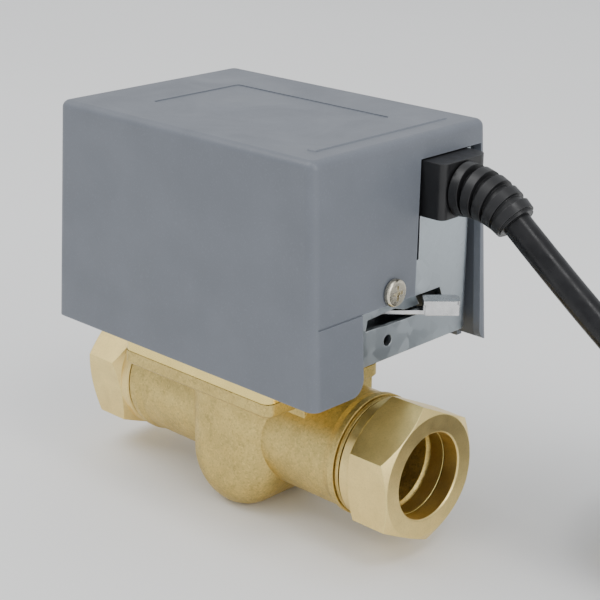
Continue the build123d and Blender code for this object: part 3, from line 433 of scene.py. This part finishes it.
def finish(slot):
    """The material for one of the record's slots, made once."""
    if slot not in made_finishes:
        made_finishes[slot] = FINISHES[slot]("finish_" + slot).material
    return made_finishes[slot]


def apply_finishes(slots):
    """Make these slots' materials afresh and put them on every piece that has one."""
    for slot in slots:
        made_finishes.pop(slot, None)
        pieces = [piece for piece, its_slot in slotted_pieces if its_slot == slot]
        if not pieces:
            raise RuntimeError("no piece has the slot " + slot)
        for piece in pieces:
            if not piece.material_slots:
                raise RuntimeError("no material slot on " + piece.name)
            for material_slot in piece.material_slots:
                material_slot.material = finish(slot)


# Geometry helpers


def add_object(name, data, slot):
    """A new piece with one of the record's slots, which stays with the body of the valve."""
    piece = bpy.data.objects.new(name, data)
    bpy.context.scene.collection.objects.link(piece)
    data.materials.append(finish(slot))
    slotted_pieces.append((piece, slot))
    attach(piece, "base")
    return piece


def tubes(name, lines, radius, slot, sides=8):
    """Round tubes in one object, each along a smooth spline through its control points."""
    curve = bpy.data.curves.new(name, "CURVE")
    curve.dimensions = "3D"
    curve.resolution_u = 12
    curve.bevel_depth = radius * MM
    curve.bevel_resolution = sides
    curve.use_fill_caps = True
    for points in lines:
        spline = curve.splines.new("NURBS")
        spline.points.add(len(points) - 1)
        for target, point in zip(spline.points, points):
            target.co = (*millimetres(point), 1.0)
        spline.order_u = 3
        spline.use_endpoint_u = True
    return add_object(name, curve, slot)


# Cord


coil_start_angle = -pi / 2
coil_centre = Vector((cord_route[-1][0], cord_route[-1][1] + coil_radius, cord_floor))
coil_top = layer_drops * coil_layer
ramp_drop = cord_route[-1][2] - cord_floor - coil_top
last_run = Vector(cord_route[-1]) - Vector(cord_route[-2])
run_slope = -last_run.z / hypot(last_run.x, last_run.y)
ramp_turns = ramp_drop / (run_slope * pi * coil_radius)


def coil_height(turn):
    """Height above the lowest turn; each turn drops a layer in its first quarter."""
    if turn < ramp_turns:
        return coil_top + ramp_drop * (1 - turn / ramp_turns) ** 2
    layer = int(turn)
    if layer == 0:
        return coil_top
    share = min(4 * (turn - layer), 1)
    return coil_top - coil_layer * (layer - 1 + (1 - cos(pi * share)) / 2)


def coil_points():
    """Control points of the turns, a little outside the line that the spline then makes."""
    half_step = pi / coil_points_per_turn
    outside = 1 / (0.75 + 0.25 * cos(2 * half_step))
    steps = round(coil_turns * coil_points_per_turn)
    points = []
    for number in range(1, steps + 1):
        turn = number / coil_points_per_turn
        reach = coil_radius if number == steps else coil_radius * outside
        angle = coil_start_angle + 2 * pi * turn
        place = Vector((reach * cos(angle), reach * sin(angle), coil_height(turn)))
        points.append(coil_centre + place)
    return points


def make_cord():
    """The sheath, as one tube along the route and then round the coil."""
    points = [Vector(point) for point in cord_route] + coil_points()
    piece = tubes("supply_cord_sheath", [points], cord_radius, "cord_sheath", sides=10)
    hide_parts("supply_cord", "cord_coil")
    return piece


core_nodes = ("core_brown", "core_blue", "core_orange", "core_grey", "core_earth")
core_radius = 1.0
core_ring_radius = 1.8
core_length = 23.0
conductor_radius = 0.45
conductor_length = 7.0
strand_radius = 0.15
strands_per_core = 6
strand_step_twist = 25.0
core_angles = [radians(72 * number + 18) for number in range(len(core_nodes))]


def end_arc(offset, turned, start, length, steps=8):
    """Points that follow the coil on from its end, offset within the cord's section."""
    reach = coil_radius + offset * cos(turned)
    rise = offset * sin(turned)
    points = []
    for number in range(steps + 1):
        along = start + length * number / steps
        angle = coil_start_angle + 2 * pi * coil_turns + along / coil_radius
        points.append(coil_centre + Vector((reach * cos(angle), reach * sin(angle), rise)))
    return points


def strand_line(middle, turned, first_twist):
    """One strand wound round a conductor's middle line."""
    reach = conductor_radius - strand_radius
    points = []
    for step, point in enumerate(middle):
        twist = radians(first_twist + strand_step_twist * step)
        sideways = Vector((cos(turned), sin(turned), 0.0)) * cos(twist)
        points.append(point + (sideways + Vector((0.0, 0.0, sin(twist)))) * reach)
    return points


def make_cores():
    """Five insulated wires with bare stranded tips, past the sheath's end."""
    pieces = []
    for node, turned in zip(core_nodes, core_angles):
        route = end_arc(core_ring_radius, turned, 0.0, core_length)
        core = tubes(node + "_wire", [route], core_radius, node)
        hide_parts(node)
        pieces.append(core)
    strands = []
    for turned in core_angles:
        middle = end_arc(core_ring_radius, turned, core_length, conductor_length, steps=12)
        for strand in range(strands_per_core):
            strands.append(strand_line(middle, turned, 360 * strand / strands_per_core))
    copper = tubes("core_strands", strands, strand_radius, "copper", sides=3)
    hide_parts("core_conductors")
    pieces.append(copper)
    return pieces


# Stage


def make_camera():
    """The camera where the photograph was taken from."""
    azimuth = radians(camera_azimuth)
    elevation = radians(camera_elevation)
    roll = radians(camera_roll)
    back = Vector((sin(azimuth) * cos(elevation), -cos(azimuth) * cos(elevation), sin(elevation)))
    right = Vector((cos(azimuth), sin(azimuth), 0.0))
    up = back.cross(right)
    rolled_right = right * cos(roll) + up * sin(roll)
    rolled_up = up * cos(roll) - right * sin(roll)
    data = bpy.data.cameras.new("camera")
    data.lens = camera_lens
    data.sensor_width = 36.0
    data.clip_start = 0.01
    data.clip_end = 20.0
    camera = bpy.data.objects.new("camera", data)
    bpy.context.scene.collection.objects.link(camera)
    place = millimetres(camera_target) + back * camera_distance * MM
    turned = Matrix((rolled_right, rolled_up, back)).transposed().to_4x4()
    camera.matrix_world = Matrix.Translation(place) @ turned
    bpy.context.scene.camera = camera


def make_floor():
    """A wide sheet of pale paper under the feet."""
    shader = Shader("floor_paper", 0.85, specular=0.2)
    cloud = shader.noise(300.0, detail=2.0)
    shader.colour(shader.ramp(cloud, [(0.3, (0.86, 0.86, 0.85)), (0.7, (0.89, 0.89, 0.88))]))
    mesh = bpy.data.meshes.new("floor")
    half = floor_width / 2
    height = foot_height * MM
    corners = [
        (-half, -half, height),
        (half, -half, height),
        (half, half, height),
        (-half, half, height),
    ]
    mesh.from_pydata(corners, [], [(0, 1, 2, 3)])
    mesh.materials.append(shader.material)
    floor = bpy.data.objects.new("floor", mesh)
    bpy.context.scene.collection.objects.link(floor)


def make_light(name, place, size, power):
    """A round soft light of a size in metres, aimed at the middle of the valve."""
    data = bpy.data.lights.new(name, "AREA")
    data.shape = "DISK"
    data.size = size
    data.energy = power
    light = bpy.data.objects.new(name, data)
    bpy.context.scene.collection.objects.link(light)
    light.location = place
    direction = Vector(place) - Vector(light_aim)
    light.rotation_mode = "QUATERNION"
    light.rotation_quaternion = direction.to_track_quat("Z", "Y")


def make_world(strength):
    """Even, slightly cool light from all round."""
    world = bpy.data.worlds.new("studio")
    world.use_nodes = True
    background = world.node_tree.nodes["Background"]
    background.inputs["Color"].default_value = (0.92, 0.94, 0.97, 1.0)
    background.inputs["Strength"].default_value = strength
    bpy.context.scene.world = world


# Settings, operators and panel


class ValveColourSettings(bpy.types.PropertyGroup):
    """Colours of the large surfaces."""

    cover: bpy.props.FloatVectorProperty(
        name="Cover",
        description="Colour of the moulded cover",
        default=(0.14, 0.153, 0.177),
        subtype="COLOR",
        min=0.0,
        max=1.0,
    )
    casting: bpy.props.FloatVectorProperty(
        name="Casting",
        description="Colour of the cast valve body",
        default=(0.65, 0.5, 0.18),
        subtype="COLOR",
        min=0.0,
        max=1.0,
    )
    nuts: bpy.props.FloatVectorProperty(
        name="Nuts",
        description="Colour of the turned brass nuts and olives",
        default=(0.93, 0.72, 0.29),
        subtype="COLOR",
        min=0.0,
        max=1.0,
    )
    milled: bpy.props.FloatVectorProperty(
        name="Milled Brass",
        description="Colour of the milled bonnet plate",
        default=(0.95, 0.74, 0.26),
        subtype="COLOR",
        min=0.0,
        max=1.0,
    )
    sheath: bpy.props.FloatVectorProperty(
        name="Cord",
        description="Colour of the cord's sheath",
        default=(0.004, 0.004, 0.005),
        subtype="COLOR",
        min=0.0,
        max=1.0,
    )


class ValveStageSettings(bpy.types.PropertyGroup):
    """Brightness of the studio."""

    key_power: bpy.props.FloatProperty(
        name="Key Light", description="Power of the large top light", default=10.0, min=0.0
    )
    fill_power: bpy.props.FloatProperty(
        name="Fill Light", description="Power of the light from the right", default=5.5, min=0.0
    )
    spot_power: bpy.props.FloatProperty(
        name="Spot Light",
        description="Power of the small light that draws the highlight along the cord",
        default=2.2,
        min=0.0,
    )
    world_strength: bpy.props.FloatProperty(
        name="World", description="Strength of the even light all round", default=0.9, min=0.0
    )


class ValveCordSettings(bpy.types.PropertyGroup):
    """Facts about the supply cord."""

    length: bpy.props.FloatProperty(
        name="Length",
        description="Real length from the strain relief to the end of the sheath",
        default=cord_length,
        unit="LENGTH",
    )
    diameter: bpy.props.FloatProperty(
        name="Diameter",
        description="Outer diameter of the sheath",
        default=2 * cord_radius * MM,
        unit="LENGTH",
    )


class VALVE_OT_camera(bpy.types.Operator):
    """Place the camera at the photograph's viewing angle"""

    bl_idname = "valve.camera"
    bl_label = "Place Camera"

    def execute(self, context):
        make_camera()
        return {"FINISHED"}


class VALVE_OT_cord(bpy.types.Operator):
    """Make the supply cord with its coil, and the five cores at its end"""

    bl_idname = "valve.cord"
    bl_label = "Make Cord"

    def execute(self, context):
        piece = make_cord()
        cores = make_cores()
        return {"FINISHED"}


class VALVE_OT_finish_body(bpy.types.Operator):
    """Give the brass body, its nuts, ball and spindle their materials"""

    bl_idname = "valve.finish_body"
    bl_label = "Finish Body"

    def execute(self, context):
        apply_finishes(
            (
                "brass_cast",
                "brass_nut",
                "brass_bright",
                "brass_machined",
                "rubber_ball",
                "rubber_black",
                "spindle_steel",
            )
        )
        return {"FINISHED"}


class VALVE_OT_finish_housing(bpy.types.Operator):
    """Give the cover, its screw, the grommet and the sheet-steel chassis their materials"""

    bl_idname = "valve.finish_housing"
    bl_label = "Finish Housing"

    def execute(self, context):
        apply_finishes(
            ("cover_grey", "cover_screw", "grommet_black", "galvanized_steel", "screw_steel")
        )
        return {"FINISHED"}


class VALVE_OT_finish_drive(bpy.types.Operator):
    """Give the motor, gears, spring, lever and switch their materials"""

    bl_idname = "valve.finish_drive"
    bl_label = "Finish Drive"

    def execute(self, context):
        apply_finishes(
            (
                "gear_steel",
                "gear_plastic",
                "spring_steel",
                "lever_steel",
                "motor_steel",
                "ferrite",
                "coil_tape",
                "switch_plastic",
                "plunger_plastic",
            )
        )
        return {"FINISHED"}


class VALVE_OT_finish_wiring(bpy.types.Operator):
    """Give the cord and its cores their materials"""

    bl_idname = "valve.finish_wiring"
    bl_label = "Finish Wiring"

    def execute(self, context):
        apply_finishes(("cord_sheath", "copper") + core_nodes)
        return {"FINISHED"}


class VALVE_OT_stage(bpy.types.Operator):
    """Make the floor, the lights and the world"""

    bl_idname = "valve.stage"
    bl_label = "Make Stage"

    def execute(self, context):
        settings = context.scene.valve_stage
        make_floor()
        make_light("key", key_place, key_size, settings.key_power)
        make_light("fill", fill_place, fill_size, settings.fill_power)
        make_light("spot", spot_place, spot_size, settings.spot_power)
        make_world(settings.world_strength)
        return {"FINISHED"}


class VALVE_PT_panel(bpy.types.Panel):
    """Zone valve tools in the 3D view's sidebar"""

    bl_idname = "VALVE_PT_panel"
    bl_label = "Zone Valve"
    bl_space_type = "VIEW_3D"
    bl_region_type = "UI"
    bl_category = "Zone Valve"

    def draw(self, context):
        layout = self.layout
        scene = context.scene
        for settings in (scene.valve_colours, scene.valve_cord, scene.valve_stage):
            for name in settings.bl_rna.properties.keys():
                if name not in ("rna_type", "name"):
                    layout.prop(settings, name)
        for operator in OPERATORS:
            layout.operator(operator.bl_idname)


OPERATORS = (
    VALVE_OT_camera,
    VALVE_OT_finish_body,
    VALVE_OT_finish_housing,
    VALVE_OT_finish_drive,
    VALVE_OT_finish_wiring,
    VALVE_OT_cord,
    VALVE_OT_stage,
)
CLASSES = (
    ValveColourSettings,
    ValveCordSettings,
    ValveStageSettings,
    *OPERATORS,
    VALVE_PT_panel,
)


def register():
    for each in CLASSES:
        bpy.utils.register_class(each)
    bpy.types.Scene.valve_colours = bpy.props.PointerProperty(type=ValveColourSettings)
    bpy.types.Scene.valve_cord = bpy.props.PointerProperty(type=ValveCordSettings)
    bpy.types.Scene.valve_stage = bpy.props.PointerProperty(type=ValveStageSettings)


def unregister():
    del bpy.types.Scene.valve_stage
    del bpy.types.Scene.valve_cord
    del bpy.types.Scene.valve_colours
    for each in reversed(CLASSES):
        bpy.utils.unregister_class(each)


def main():
    register()
    bpy.ops.valve.camera()
    bpy.ops.valve.finish_body()
    bpy.ops.valve.finish_housing()
    bpy.ops.valve.finish_drive()
    bpy.ops.valve.finish_wiring()
    bpy.ops.valve.cord()
    bpy.ops.valve.stage()


if __name__ == "__main__":
    main()
